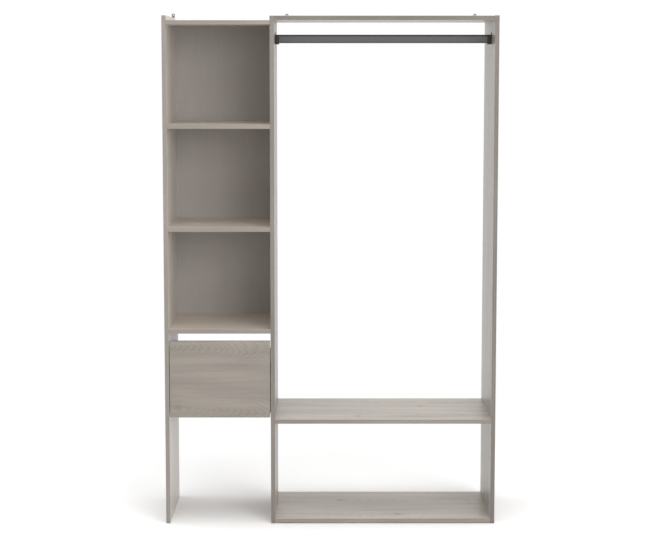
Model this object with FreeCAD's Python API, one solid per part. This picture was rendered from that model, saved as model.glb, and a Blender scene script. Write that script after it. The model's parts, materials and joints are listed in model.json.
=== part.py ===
import FreeCAD
import Part
import math
import os

# Open-front wardrobe of melamine-faced boards, in millimetres.
# Left: a narrow tower with three niches, a drawer under them and open floor space.
# Right: an open bay with a hanging rail, a low bench shelf and a base board.
# Frame: +Z up, the front faces -Y, origin on the floor in the middle of the overall box.

V = FreeCAD.Vector
X_AXIS, Y_AXIS, Z_AXIS = V(1, 0, 0), V(0, 1, 0), V(0, 0, 1)

# Driving dimensions of the carcass
height = 1800.0
depth = 420.0
tower_inner = 360.0
hanging_inner = 768.0
board = 15.0
edge_round = 0.8

# Heights of the boards
hanging_top_drop = 1.0
tower_top_drop = 16.5
niche_height = 346.0
bench_clear = 362.0
base_lift = 2.5

# Back of the niches
back_thick = 3.0
back_inset = 2.0
nail_radius = 0.8
nail_head_radius = 2.0
nail_head_thick = 0.8
nail_length = 22.0
nail_pitch = 260.0
nail_end_inset = 40.0

# Dowels, cam bolts and cams that hold the boards
fit_gap = 0.1
dowel_radius = 4.0
dowel_in_panel = 10.0
dowel_in_board = 20.0
dowel_chamfer = 0.8
cam_radius = 7.5
cam_above_axis = 4.5
cam_setback = 24.0
cam_slot_width = 1.8
cam_slot_deep = 2.2
cam_slot_share = 0.7
bolt_thread_radius = 3.0
bolt_in_panel = 11.0
bolt_neck_radius = 2.2
bolt_head_radius = 3.4
bolt_head_thick = 3.0
cam_inset = 69.0

# Hanging rail: an oval tube
rail_high = 30.0
rail_wide = 15.0
rail_wall = 1.2
rail_drop = 48.3
rail_from_front = 145.0

# Rail supports: an open cup on a plate with a screw tab
support_plate = 2.0
support_reach = 15.0
support_wall = 4.0
support_gap = 0.3
support_rim_chamfer = 0.8
tab_rise = 8.0
tab_wide = 17.0
tab_screw_down = 5.2
cup_screw_up = 9.0

# Wood screws with a countersunk head
screw_shank_radius = 1.7
screw_head_radius = 3.3
support_screw_length = 12.0
bracket_screw_length = 12.0
runner_screw_length = 20.0
drawer_screw_length = 35.0

# Wall brackets on the top edges
bracket_wide = 11.0
bracket_thick = 2.0
bracket_rise = 17.0
bracket_leg = 20.0
bracket_bend = 1.0
bracket_corner = 3.0
bracket_hole_radius = 2.25
bracket_hole_down = 5.5
bracket_screw_in = 7.0
bracket_from_panel = 37.0

# Drawer
finger_gap = 26.7
drawer_front_high = 274.4
drawer_front_thick = 15.0
drawer_front_recess = 1.0
drawer_gap = 2.0
drawer_side_thick = 12.0
drawer_side_high = 182.0
drawer_side_lift = 8.5
drawer_rear_room = 18.0
drawer_bottom_thick = 3.0
drawer_bottom_up = 10.0
drawer_groove_deep = 5.0
drawer_groove_gap = 0.2
drawer_dowel_in_front = 9.0
drawer_dowel_in_side = 18.0
drawer_dowel_radius = 3.0
drawer_dowel_shares = (0.15, 0.5)
drawer_cam_down = 26.0
drawer_screw_inset = 30.0

# Plastic drawer runners that ride in the grooves of the drawer sides
runner_high = 12.0
runner_down = 48.5
runner_bite = 5.5
runner_rest_gap = 0.3
runner_under_gap = 0.6
runner_side_gap = 0.6
runner_stop_gap = 0.5
runner_rear_inset = 20.0
runner_nose = 4.0
runner_screw_inset = 30.0
runner_screw_count = 3

# One overrun serves every cut that has to pass through a face.
overrun = 1.0

# Small fasteners repeat many times, so they and their holes are round to this many sides.
pin_sides = 6
head_sides = 10

# Places along X, from the left outer face to the right outer face
width = tower_inner + hanging_inner + 3 * board
left_x = -width / 2
tower_x = left_x + board
middle_x = tower_x + tower_inner
hanging_x = middle_x + board
right_x = hanging_x + hanging_inner

# Places along Y, from the front edges to the heads of the back's nails
overall_depth = depth + back_thick + nail_head_thick
front_y = -overall_depth / 2
rear_y = front_y + depth

# Undersides of the boards
hanging_top_z = height - hanging_top_drop - board
tower_top_z = height - tower_top_drop - board
niche_pitch = niche_height + board
tower_shelf_zs = [tower_top_z - n * niche_pitch for n in (1, 2, 3)]
tower_floor_z = tower_shelf_zs[-1]

# Drawer places
drawer_x0 = tower_x + drawer_gap
drawer_x1 = middle_x - drawer_gap
drawer_front_y = front_y + drawer_front_recess
drawer_box_y = drawer_front_y + drawer_front_thick
drawer_rear_y = rear_y - drawer_rear_room
drawer_top_z = tower_floor_z - finger_gap
drawer_z = drawer_top_z - drawer_front_high
drawer_side_z = drawer_z + drawer_side_lift
drawer_side_top = drawer_side_z + drawer_side_high
drawer_bottom_z = drawer_side_z + drawer_bottom_up
drawer_back_z = drawer_bottom_z + drawer_bottom_thick + drawer_groove_gap
drawer_back_thick = drawer_side_thick

# Runner places: the roof of the side's groove rests on the runner
runner_z = drawer_side_top - runner_down - runner_high
runner_thick = drawer_gap + runner_bite
runner_y0 = drawer_box_y + runner_stop_gap
runner_y1 = rear_y - runner_rear_inset

# Rail and support places
rail_z = hanging_top_z - rail_drop - rail_high / 2
rail_y = front_y + rail_from_front
cup_half = rail_wide / 2 + support_gap + support_wall
screw_head_deep = screw_head_radius - screw_shank_radius


# Shared shapes

def face_of(edges):
    return Part.Face(Part.Wire(Part.__sortEdges__(edges)))


def arc(centre, radius, start_deg, end_deg, place):
    """An arc in a plane; place turns plane coordinates into a point in space."""
    def point(deg):
        turn = math.radians(deg)
        return place(centre[0] + radius * math.cos(turn), centre[1] + radius * math.sin(turn))
    return Part.Arc(point(start_deg), point((start_deg + end_deg) / 2), point(end_deg)).toShape()


def line(start, end, place):
    return Part.LineSegment(place(*start), place(*end)).toShape()


def front_rounded(t0, t1, y0, y1, place):
    """A board's section: thickness t, depth y, with both arrises of its front edge rounded."""
    r = edge_round
    return face_of([
        arc((t0 + r, y0 + r), r, 180, 270, place),
        line((t0 + r, y0), (t1 - r, y0), place),
        arc((t1 - r, y0 + r), r, 270, 360, place),
        line((t1, y0 + r), (t1, y1), place),
        line((t1, y1), (t0, y1), place),
        line((t0, y1), (t0, y0 + r), place),
    ])


def upright(x0, x1, y0, y1, z0, z1):
    """A standing panel, with its section swept up along Z."""
    section = front_rounded(x0, x1, y0, y1, lambda t, y: V(t, y, z0))
    return section.extrude(V(0, 0, z1 - z0))


def lying(x0, x1, y0, y1, z0, z1):
    """A lying board, with its section swept along X."""
    section = front_rounded(z0, z1, y0, y1, lambda t, y: V(x0, y, t))
    return section.extrude(V(x1 - x0, 0, 0))


def block(x0, x1, y0, y1, z0, z1):
    return Part.makeBox(x1 - x0, y1 - y0, z1 - z0, V(x0, y0, z0))


def ring(radius, distance, sides):
    """Corners of a regular outline about the Z axis, from the X axis round to it again."""
    turns = [2 * math.pi * n / sides for n in range(sides + 1)]
    return [V(radius * math.cos(a), radius * math.sin(a), distance) for a in turns]


def stretch(low, high):
    """A prism or a taper between two rings, closed by flat faces."""
    outlines = [[a, b, c, d, a] for a, b, c, d in zip(low, low[1:], high[1:], high)]
    faces = [Part.Face(Part.makePolygon(outline)) for outline in outlines + [low, high]]
    return Part.makeSolid(Part.makeShell(faces))


def turned(profile, start, direction, sides):
    """A turned piece with that many sides; profile is (distance, radius) from end to end."""
    stretches = [stretch(ring(r0, a0, sides), ring(r1, a1, sides))
                 for (a0, r0), (a1, r1) in zip(profile, profile[1:]) if a1 > a0]
    solid = stretches[0]
    if len(stretches) > 1:
        solid = solid.multiFuse(stretches[1:]).removeSplitter()
    solid.Placement = FreeCAD.Placement(start, FreeCAD.Rotation(Z_AXIS, direction))
    return solid


def pin(radius, start, direction, length, sides=pin_sides):
    return turned([(0, radius), (length, radius)], start, direction, sides)


def cut_all(solid, tools):
    return solid.cut(Part.makeCompound(tools)) if tools else solid


def along(start, direction, distance):
    return start + direction * distance


# Joints of dowels, cam bolts and cams

carcass_dowel = (dowel_radius, dowel_in_panel, dowel_in_board)
drawer_dowel = (drawer_dowel_radius, drawer_dowel_in_front, drawer_dowel_in_side)
bolt_to_cam = cam_setback - bolt_head_thick / 2


class Joint:
    """A board's end against a panel. outward points from the board into the panel, cam_way points out
    of the board's face that holds the cams, and half is half of the board's thickness."""

    def __init__(self, outward, cam_way, half, dowel, dowel_places, cam_places):
        self.outward, self.inward = outward, outward * -1
        self.cam_way = cam_way
        self.half = half
        self.dowel_radius, self.dowel_outer, self.dowel_inner = dowel
        self.dowel_places, self.cam_places = dowel_places, cam_places

    def panel_bores(self):
        """Holes in the panel: one for each dowel and each bolt's thread."""
        bores = [pin(self.dowel_radius + fit_gap, p, self.outward, self.dowel_outer + fit_gap)
                 for p in self.dowel_places]
        bores += [pin(bolt_thread_radius + fit_gap, p, self.outward, bolt_in_panel + fit_gap)
                  for p in self.cam_places]
        return bores

    def board_bores(self):
        """Holes in the board: dowel bores, bolt bores and cam pockets."""
        bores = [pin(self.dowel_radius + fit_gap, p, self.inward, self.dowel_inner + fit_gap)
                 for p in self.dowel_places]
        for p in self.cam_places:
            bores.append(pin(bolt_head_radius + fit_gap, p, self.inward, cam_setback))
            floor = -cam_above_axis - fit_gap
            deep = self.half + overrun - floor
            pocket = pin(cam_radius + fit_gap, V(0, 0, floor), Z_AXIS, deep, head_sides)
            bores.append(self.at_cam(pocket, p))
        return bores

    def at_cam(self, shape, place):
        """Put a shape at a cam. It is made about the bolt's axis, with local X outward along the bolt
        and local Z out of the cam's face."""
        turn = FreeCAD.Rotation(self.outward, self.cam_way.cross(self.outward), self.cam_way, "ZXY")
        spot = FreeCAD.Placement(along(place, self.inward, cam_setback), turn)
        shape.Placement = spot.multiply(shape.Placement)
        return shape

    def dowels(self):
        """Dowels with chamfered ends."""
        radius, c = self.dowel_radius, dowel_chamfer
        length = self.dowel_outer + self.dowel_inner
        profile = [(0, radius - c), (c, radius), (length - c, radius), (length, radius - c)]
        return [turned(profile, along(p, self.inward, self.dowel_inner), self.outward, pin_sides)
                for p in self.dowel_places]

    def cam_bolts(self):
        """Bolts with a thread in the panel, and a neck and a head in the board."""
        head_start = bolt_in_panel + bolt_to_cam
        profile = [
            (0, bolt_thread_radius), (bolt_in_panel, bolt_thread_radius),
            (bolt_in_panel, bolt_neck_radius), (head_start, bolt_neck_radius),
            (head_start, bolt_head_radius), (head_start + bolt_head_thick, bolt_head_radius),
        ]
        return [turned(profile, along(p, self.outward, bolt_in_panel), self.inward, pin_sides)
                for p in self.cam_places]

    def cam_locks(self):
        """Cams: drums with a side channel round the bolt's head and a driver slot in their face."""
        drum = pin(cam_radius, V(0, 0, -cam_above_axis), Z_AXIS, self.half + cam_above_axis, head_sides)
        channel = pin(bolt_head_radius + fit_gap, V(-bolt_head_thick, 0, 0), X_AXIS,
                      bolt_head_thick + cam_radius + overrun)
        slot_half = cam_radius * cam_slot_share
        slot = block(-slot_half, slot_half, -cam_slot_width / 2, cam_slot_width / 2,
                     self.half - cam_slot_deep, self.half + overrun)
        return [self.at_cam(cut_all(drum, [channel, slot]), p) for p in self.cam_places]


def shelf_joints(x0, x1, underside_z, cam_way, has_cams):
    """Both ends of a lying board: a pair of cams with a dowel between them, or a pair of dowels."""
    joints = []
    for x, outward in ((x0, X_AXIS * -1), (x1, X_AXIS)):
        corner = V(x, front_y, underside_z + board / 2)
        near, far = along(corner, Y_AXIS, cam_inset), along(corner, Y_AXIS, depth - cam_inset)
        middle = along(corner, Y_AXIS, depth / 2)
        dowel_places, cam_places = ([middle], [near, far]) if has_cams else ([near, far], [])
        joints.append(Joint(outward, cam_way, board / 2, carcass_dowel, dowel_places, cam_places))
    return joints


up, down = Z_AXIS, Z_AXIS * -1
shelves = {
    "hanging_top_board": (hanging_x, right_x, hanging_top_z, up, True),
    "bench_shelf": (hanging_x, right_x, bench_clear, down, True),
    "base_board": (hanging_x, right_x, base_lift, down, True),
    "tower_top_board": (tower_x, middle_x, tower_top_z, up, True),
    "tower_shelf_upper": (tower_x, middle_x, tower_shelf_zs[0], down, False),
    "tower_shelf_lower": (tower_x, middle_x, tower_shelf_zs[1], down, False),
    "tower_floor_shelf": (tower_x, middle_x, tower_floor_z, down, True),
}
joints_of = {name: shelf_joints(*places) for name, places in shelves.items()}
carcass_joints = [joint for pair in joints_of.values() for joint in pair]


# Countersunk wood screws: place is on the face that the head lies flush with

def screw_at(place, direction, length):
    profile = [(0, screw_head_radius), (screw_head_deep, screw_shank_radius),
               (length, screw_shank_radius)]
    return turned(profile, place, direction, head_sides)


def screw_hole(place, direction, length):
    """Clearance for a screw: its countersink, shank bore and a little room at its tip."""
    bore = screw_shank_radius + fit_gap
    profile = [(-overrun, screw_head_radius + fit_gap + overrun), (screw_head_deep, bore),
               (length + fit_gap, bore)]
    return turned(profile, place, direction, head_sides)


# Back of the niches: a thin sheet nailed to the rear edges

back_x0 = left_x + back_inset
back_x1 = hanging_x - back_inset
back_z0 = tower_floor_z + back_inset
back_z1 = tower_top_z + board - back_inset


def nail_places():
    """Points on the sheet's rear face: a row over each panel's edge and one over each board's."""
    rear = rear_y + back_thick
    panel_xs = (left_x + board / 2, middle_x + board / 2)
    span = back_z1 - back_z0 - 2 * nail_end_inset
    count = int(span // nail_pitch) + 1
    heights = [back_z0 + nail_end_inset + span * n / count for n in range(count + 1)]
    places = [V(x, rear, z) for x in panel_xs for z in heights]
    for z in [tower_top_z] + tower_shelf_zs:
        places.append(V(tower_x + tower_inner / 2, rear, z + board / 2))
    return places


def nail_at(place):
    profile = [(-nail_head_thick, nail_head_radius), (0, nail_head_radius),
               (0, nail_radius), (nail_length, nail_radius)]
    return turned(profile, place, Y_AXIS * -1, pin_sides)


def nail_hole(place):
    deep = nail_length + overrun + fit_gap
    return pin(nail_radius + fit_gap, along(place, Y_AXIS, overrun), Y_AXIS * -1, deep)


nail_holes = [nail_hole(p) for p in nail_places()]


# Hanging rail and its supports

def oval(half_wide, half_high, place):
    """A flat-sided oval: half circles at top and bottom joined by straight sides."""
    straight = half_high - half_wide
    return face_of([
        arc((0, straight), half_wide, 0, 180, place),
        line((-half_wide, straight), (-half_wide, -straight), place),
        arc((0, -straight), half_wide, 180, 360, place),
        line((half_wide, -straight), (half_wide, straight), place),
    ])


rail_x0 = hanging_x + support_plate + support_gap
rail_x1 = right_x - support_plate - support_gap


def hanging_rail():
    place = lambda y, z: V(rail_x0, rail_y + y, rail_z + z)
    outer = oval(rail_wide / 2, rail_high / 2, place)
    inner = oval(rail_wide / 2 - rail_wall, rail_high / 2 - rail_wall, place)
    return outer.cut(inner).extrude(V(rail_x1 - rail_x0, 0, 0))


support_screw_zs = (rail_z + rail_high / 2 + tab_rise - tab_screw_down,
                    rail_z - rail_high / 2 + cup_screw_up)


def cup_outline(half, bottom_centre, top, place):
    """A U: a half circle at the bottom and straight arms up to top."""
    return face_of([
        arc((0, bottom_centre), half, 180, 360, place),
        line((half, bottom_centre), (half, top), place),
        line((half, top), (-half, top), place),
        line((-half, top), (-half, bottom_centre), place),
    ])


def rail_support(panel_face_x, inward):
    """A cup that the rail drops into, on a plate whose tab takes the upper screw."""
    place = lambda y, z: V(panel_face_x, rail_y + y, rail_z + z)
    straight = rail_high / 2 - rail_wide / 2
    top = rail_high / 2
    tab_half = tab_wide / 2
    out = X_AXIS * inward
    shell = cup_outline(cup_half, -straight, top, place).extrude(out * support_reach)
    rim = [e for e in shell.Edges if e.Curve.TypeId == "Part::GeomCircle"
           and abs(e.CenterOfMass.x - (panel_face_x + inward * support_reach)) < support_rim_chamfer]
    shell = shell.makeChamfer(support_rim_chamfer, rim)
    hollow_start = lambda y, z: V(panel_face_x + inward * support_plate, rail_y + y, rail_z + z)
    hollow = cup_outline(rail_wide / 2 + support_gap, -straight, top + overrun, hollow_start)
    hollow = hollow.extrude(out * support_reach)
    tab_top = top + tab_rise - tab_half
    tab = face_of([
        line((-tab_half, 0), (tab_half, 0), place),
        line((tab_half, 0), (tab_half, tab_top), place),
        arc((0, tab_top), tab_half, 0, 180, place),
        line((-tab_half, tab_top), (-tab_half, 0), place),
    ]).extrude(out * support_plate)
    solid = shell.cut(hollow).fuse(tab).removeSplitter()
    return cut_all(solid, [screw_hole(*spot) for spot in support_screw_places(panel_face_x, inward)])


def support_screw_places(panel_face_x, inward):
    seat_x = panel_face_x + inward * support_plate
    return [(V(seat_x, rail_y, z), X_AXIS * -inward, support_screw_length) for z in support_screw_zs]


# Wall brackets: bent strips on the top edges, with a hole for a wall screw in the upright leg

bracket_rear_y = rear_y + back_thick
bracket_spots = (
    (left_x + board / 2, height),
    (hanging_x + bracket_from_panel, hanging_top_z + board),
    (right_x - bracket_from_panel, hanging_top_z + board),
)
bracket_screw_y = bracket_rear_y - bracket_leg + bracket_screw_in


def wall_bracket(x, z):
    """An angle bent from strip: one leg lies on the board, the other stands at the wall."""
    place = lambda back, rise: V(x - bracket_wide / 2, bracket_rear_y + back, z + rise)
    t = bracket_thick
    bend = bracket_bend
    strip = face_of([
        line((-bracket_leg, 0), (-bend - t, 0), place),
        arc((-bend - t, bend + t), bend + t, 270, 360, place),
        line((0, bend + t), (0, bracket_rise), place),
        line((0, bracket_rise), (-t, bracket_rise), place),
        line((-t, bracket_rise), (-t, bend + t), place),
        arc((-bend - t, bend + t), bend, 360, 270, place),
        line((-bend - t, t), (-bracket_leg, t), place),
        line((-bracket_leg, t), (-bracket_leg, 0), place),
    ]).extrude(X_AXIS * bracket_wide)
    ends = [e for e in strip.Edges if abs(e.Length - t) < fit_gap]
    strip = strip.makeFillet(bracket_corner, ends)
    hole_mouth = V(x, bracket_rear_y + overrun, z + bracket_rise - bracket_hole_down)
    wall_hole = Part.makeCylinder(bracket_hole_radius, t + 2 * overrun, hole_mouth, Y_AXIS * -1)
    return cut_all(strip, [wall_hole, screw_hole(*bracket_screw_place(x, z))])


def bracket_screw_place(x, z):
    return V(x, bracket_screw_y, z + bracket_thick), down, bracket_screw_length


# Drawer runners

runner_sides = {"runner_left": (tower_x, 1), "runner_right": (middle_x, -1)}


def runner_screw_places(face_x, inward):
    span = runner_y1 - runner_y0 - 2 * runner_screw_inset
    step = span / (runner_screw_count - 1)
    ys = [runner_y0 + runner_screw_inset + step * n for n in range(runner_screw_count)]
    seat_x = face_x + inward * runner_thick
    z = runner_z + runner_high / 2
    return [(V(seat_x, y, z), X_AXIS * -inward, runner_screw_length) for y in ys]


def drawer_runner(face_x, inward):
    """A strip on the panel's face, with a rounded nose at the front to lead the groove on."""
    place = lambda y, z: V(face_x, y, z)
    y0, y1, z0, z1, r = runner_y0, runner_y1, runner_z, runner_z + runner_high, runner_nose
    strip = face_of([
        arc((y0 + r, z0 + r), r, 180, 270, place),
        line((y0 + r, z0), (y1, z0), place),
        line((y1, z0), (y1, z1), place),
        line((y1, z1), (y0 + r, z1), place),
        arc((y0 + r, z1 - r), r, 90, 180, place),
        line((y0, z1 - r), (y0, z0 + r), place),
    ]).extrude(X_AXIS * (inward * runner_thick))
    return cut_all(strip, [screw_hole(*spot) for spot in runner_screw_places(face_x, inward)])


# Drawer pieces

drawer_inner_x0 = drawer_x0 + drawer_side_thick
drawer_inner_x1 = drawer_x1 - drawer_side_thick
drawer_sides = {"drawer_side_left": (drawer_x0, 1), "drawer_side_right": (drawer_x1, -1)}


def drawer_joint(outer_x, inward):
    """A side's end against the front's rear face: dowels, and above them a cam that is let into the
    side's outer face."""
    half = drawer_side_thick / 2
    x = outer_x + inward * half
    dowel_zs = [drawer_side_z + drawer_side_high * share for share in drawer_dowel_shares]
    dowel_places = [V(x, drawer_box_y, z) for z in dowel_zs]
    cam_place = V(x, drawer_box_y, drawer_side_top - drawer_cam_down)
    return Joint(Y_AXIS * -1, X_AXIS * -inward, half, drawer_dowel, dowel_places, [cam_place])


drawer_joints = {name: drawer_joint(*face) for name, face in drawer_sides.items()}


def drawer_screw_places():
    """Points on the sides' outer faces where screws run into the ends of the back."""
    y = drawer_rear_y - drawer_back_thick / 2
    zs = (drawer_back_z + drawer_screw_inset, drawer_side_top - drawer_screw_inset)
    return [(V(x, y, z), X_AXIS * inward, drawer_screw_length)
            for x, inward in drawer_sides.values() for z in zs]


drawer_screw_holes = [screw_hole(*spot) for spot in drawer_screw_places()]


def bottom_groove():
    """Room for the bottom sheet in the front and the sides."""
    gap = drawer_groove_gap
    deep = drawer_groove_deep
    return block(drawer_inner_x0 - deep, drawer_inner_x1 + deep,
                 drawer_box_y - deep, drawer_rear_y + overrun,
                 drawer_bottom_z - gap, drawer_bottom_z + drawer_bottom_thick + gap)


def drawer_front():
    """A plain front with all four arrises of its face rounded."""
    front = block(drawer_x0, drawer_x1, drawer_front_y, drawer_box_y, drawer_z, drawer_top_z)
    arrises = [e for e in front.Edges if e.BoundBox.YMax < drawer_front_y + edge_round]
    front = front.makeFillet(edge_round, arrises)
    bores = [bore for joint in drawer_joints.values() for bore in joint.panel_bores()]
    return cut_all(front, bores + [bottom_groove()])


def drawer_side(name):
    """A side with a groove outside for its runner and a groove inside for the bottom."""
    outer_x, inward = drawer_sides[name]
    x0, x1 = sorted((outer_x, outer_x + inward * drawer_side_thick))
    side = block(x0, x1, drawer_box_y, drawer_rear_y, drawer_side_z, drawer_side_top)
    deep = runner_bite + runner_side_gap
    groove_x0, groove_x1 = sorted((outer_x - inward * overrun, outer_x + inward * deep))
    runner_groove = block(groove_x0, groove_x1, drawer_box_y - overrun, drawer_rear_y + overrun,
                          runner_z - runner_under_gap, runner_z + runner_high + runner_rest_gap)
    bores = drawer_joints[name].board_bores() + drawer_screw_holes
    return cut_all(side, bores + [runner_groove, bottom_groove()])


def drawer_back():
    back = block(drawer_inner_x0, drawer_inner_x1, drawer_rear_y - drawer_back_thick, drawer_rear_y,
                 drawer_back_z, drawer_side_top)
    return cut_all(back, drawer_screw_holes)


def drawer_bottom():
    bite = drawer_groove_deep - drawer_groove_gap
    return block(drawer_inner_x0 - bite, drawer_inner_x1 + bite, drawer_box_y - bite, drawer_rear_y,
                 drawer_bottom_z, drawer_bottom_z + drawer_bottom_thick)


# Carcass pieces

support_faces = ((hanging_x, 1), (right_x, -1))
support_screws = [spot for face in support_faces for spot in support_screw_places(*face)]
runner_screws = [spot for face in runner_sides.values() for spot in runner_screw_places(*face)]
bracket_screws = [bracket_screw_place(*spot) for spot in bracket_spots]
carcass_screw_holes = [screw_hole(*spot) for spot in support_screws + runner_screws + bracket_screws]


def side_panel(x, top_z):
    """An upright panel, drilled wherever a joint, screw or nail reaches it."""
    panel = upright(x, x + board, front_y, rear_y, 0, top_z)
    bores = [bore for joint in carcass_joints for bore in joint.panel_bores()]
    return cut_all(panel, bores + carcass_screw_holes + nail_holes)


def lying_board(name):
    x0, x1, underside_z = shelves[name][:3]
    plank = lying(x0, x1, front_y, rear_y, underside_z, underside_z + board)
    bores = [bore for joint in joints_of[name] for bore in joint.board_bores()]
    return cut_all(plank, bores + carcass_screw_holes + nail_holes)


def back_panel():
    sheet = block(back_x0, back_x1, rear_y, rear_y + back_thick, back_z0, back_z1)
    return cut_all(sheet, nail_holes)


# Every piece by name

nodes = {
    "left_side_panel": side_panel(left_x, height),
    "middle_panel": side_panel(middle_x, hanging_top_z + board),
    "right_side_panel": side_panel(right_x, height),
    "tower_back_panel": back_panel(),
    "hanging_rail": hanging_rail(),
    "drawer_front": drawer_front(),
    "drawer_back": drawer_back(),
    "drawer_bottom": drawer_bottom(),
}
for name in shelves:
    nodes[name] = lying_board(name)
for name, face in runner_sides.items():
    nodes[name] = drawer_runner(*face)
for name in drawer_sides:
    nodes[name] = drawer_side(name)

# Like small pieces share a node, as separate solids
groups = {
    "rail_supports": [rail_support(*face) for face in support_faces],
    "wall_brackets": [wall_bracket(*spot) for spot in bracket_spots],
    "carcass_dowels": [solid for joint in carcass_joints for solid in joint.dowels()],
    "cam_bolts": [solid for joint in carcass_joints for solid in joint.cam_bolts()],
    "cam_locks": [solid for joint in carcass_joints for solid in joint.cam_locks()],
    "drawer_dowels": [solid for joint in drawer_joints.values() for solid in joint.dowels()],
    "drawer_cam_bolts": [solid for joint in drawer_joints.values() for solid in joint.cam_bolts()],
    "drawer_cam_locks": [solid for joint in drawer_joints.values() for solid in joint.cam_locks()],
    "back_panel_nails": [nail_at(place) for place in nail_places()],
    "rail_support_screws": [screw_at(*spot) for spot in support_screws],
    "runner_screws": [screw_at(*spot) for spot in runner_screws],
    "wall_bracket_screws": [screw_at(*spot) for spot in bracket_screws],
    "drawer_screws": [screw_at(*spot) for spot in drawer_screw_places()],
}
for name, solids in groups.items():
    nodes[name] = Part.makeCompound(solids)

os.makedirs("parts", exist_ok=True)
for name, shape in sorted(nodes.items()):
    if not all(solid.isValid() for solid in shape.Solids):
        raise ValueError(name + " has a bad solid")
    shape.exportStep("parts/" + name + ".step")
    print(name, len(shape.Solids), "solids", round(shape.Volume), "mm3")
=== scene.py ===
# %% [markdown]
# # An open-front wardrobe in grey oak board
# This is flat-pack furniture: printed chipboard panels and shelves, one drawer, a dark oval rail and
# small metal fittings. Every board comes from a packed construction model, which is loaded as a fixed
# frame in metres. The lesson then adds what a construction model lacks: the printed oak, raw edges,
# moulded and turned fittings, studio light and a camera.

# %% Load the frame
import json
import math

import bmesh
import bpy
from mathutils import Matrix, Vector


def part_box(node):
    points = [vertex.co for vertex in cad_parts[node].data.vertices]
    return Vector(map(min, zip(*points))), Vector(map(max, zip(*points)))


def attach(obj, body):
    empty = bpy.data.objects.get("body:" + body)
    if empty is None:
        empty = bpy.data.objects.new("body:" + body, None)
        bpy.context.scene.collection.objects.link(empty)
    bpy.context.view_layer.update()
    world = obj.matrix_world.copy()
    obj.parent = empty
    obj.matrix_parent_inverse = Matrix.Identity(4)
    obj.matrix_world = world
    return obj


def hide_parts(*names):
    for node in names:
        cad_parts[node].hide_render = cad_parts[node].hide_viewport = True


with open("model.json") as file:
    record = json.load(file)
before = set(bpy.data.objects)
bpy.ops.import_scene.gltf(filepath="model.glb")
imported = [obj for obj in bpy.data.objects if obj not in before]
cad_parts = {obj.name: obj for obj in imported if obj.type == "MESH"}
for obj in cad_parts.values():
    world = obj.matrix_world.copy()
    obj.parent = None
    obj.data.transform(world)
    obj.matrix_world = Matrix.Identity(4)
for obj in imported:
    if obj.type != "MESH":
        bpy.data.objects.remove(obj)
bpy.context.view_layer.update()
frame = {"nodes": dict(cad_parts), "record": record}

nodes = frame["nodes"]

# %% [markdown]
# ## Camera
# The photograph was taken from far away with a long lens, a little below the height of the rail and
# tilted down, so that the uprights lean outwards only slightly. A camera could be placed by eye. Here its
# place and its angles, in radians, were solved from the straight board edges, and the lens follows from
# the focal length in pixels of the 650 pixel wide picture.

# %% Place the camera
image_wide = 650
focal_pixels = 1842.8
sensor_wide = 36.0
camera_place = (-0.0228, -6.6585, 1.6326)
camera_down = 0.1143
camera_turn = 0.0006

camera_data = bpy.data.cameras.new("studio_camera")
camera_data.sensor_width = sensor_wide
camera_data.lens = focal_pixels / image_wide * sensor_wide
camera = bpy.data.objects.new("studio_camera", camera_data)
camera.location = camera_place
camera.rotation_euler = (math.pi / 2 - camera_down, 0, -camera_turn)
bpy.context.scene.collection.objects.link(camera)
bpy.context.scene.camera = camera
bpy.context.scene.view_settings.view_transform = "Standard"
print("lens", round(camera_data.lens, 2), "mm")

# %% [markdown]
# ## Writing shaders as sums
# A material is a tree of nodes, and wiring it by hand hides the idea behind it. This small class wraps
# one socket, so that an expression such as `1 - mask` adds the Math node that it needs. One more method
# adds any other node: first its settings, then its sockets, each with a number, a colour or a link.


# %% A value in a node tree
class Value:
    """One output socket of a node tree; arithmetic on it adds Math nodes."""

    def __init__(self, tree, socket=None):
        self.tree = tree
        self.socket = socket

    def fill(self, node, sockets):
        for name, value in sockets.items():
            if isinstance(value, Value):
                self.tree.links.new(value.socket, node.inputs[name])
            else:
                node.inputs[name].default_value = value

    def node(self, kind, settings, sockets, output=0):
        made = self.tree.nodes.new("ShaderNode" + kind)
        for name, setting in settings.items():
            setattr(made, name, setting)
        self.fill(made, sockets)
        return Value(self.tree, made.outputs[output])

    def other(self, output):
        return Value(self.tree, self.socket.node.outputs[output])

    def math(self, operation, first, second=0.0):
        return self.node("Math", {"operation": operation}, {0: first, 1: second})

    def __add__(self, other):
        return self.math("ADD", self, other)

    def __sub__(self, other):
        return self.math("SUBTRACT", self, other)

    def __rsub__(self, other):
        return self.math("SUBTRACT", other, self)

    def __mul__(self, other):
        return self.math("MULTIPLY", self, other)

    def __truediv__(self, other):
        return self.math("DIVIDE", self, other)

    def __rtruediv__(self, other):
        return self.math("DIVIDE", other, self)

    def __pow__(self, other):
        return self.math("POWER", self, other)

    def __rpow__(self, other):
        return self.math("POWER", other, self)

    def __gt__(self, other):
        return self.math("GREATER_THAN", self, other)

    def __lt__(self, other):
        return self.math("LESS_THAN", self, other)

    __radd__ = __add__
    __rmul__ = __mul__

    def between(self, low, high):
        """The low number where this value is 0, the high one where it is 1."""
        return self * (high - low) + low

    def fade(self, start, end):
        """Rises smoothly from 0 at start to 1 at end."""
        return self.node("MapRange", {"interpolation_type": "SMOOTHSTEP"},
                         {"Value": self, "From Min": start, "From Max": end})

    def mix(self, first, second):
        """The first colour where this value is 0, the second where it is 1."""
        return self.node("Mix", {"data_type": "RGBA"}, {0: self, 6: first, 7: second}, 2)


def screen_colour(red, green, blue):
    """A colour picked on screen from 0 to 255, as the linear colour that a socket takes."""
    linear = [((c / 255 + 0.055) / 1.055) ** 2.4 for c in (red, green, blue)]
    return (*linear, 1.0)


print("mid grey on screen is", round(screen_colour(128, 128, 128)[0], 3), "linear")

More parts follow.
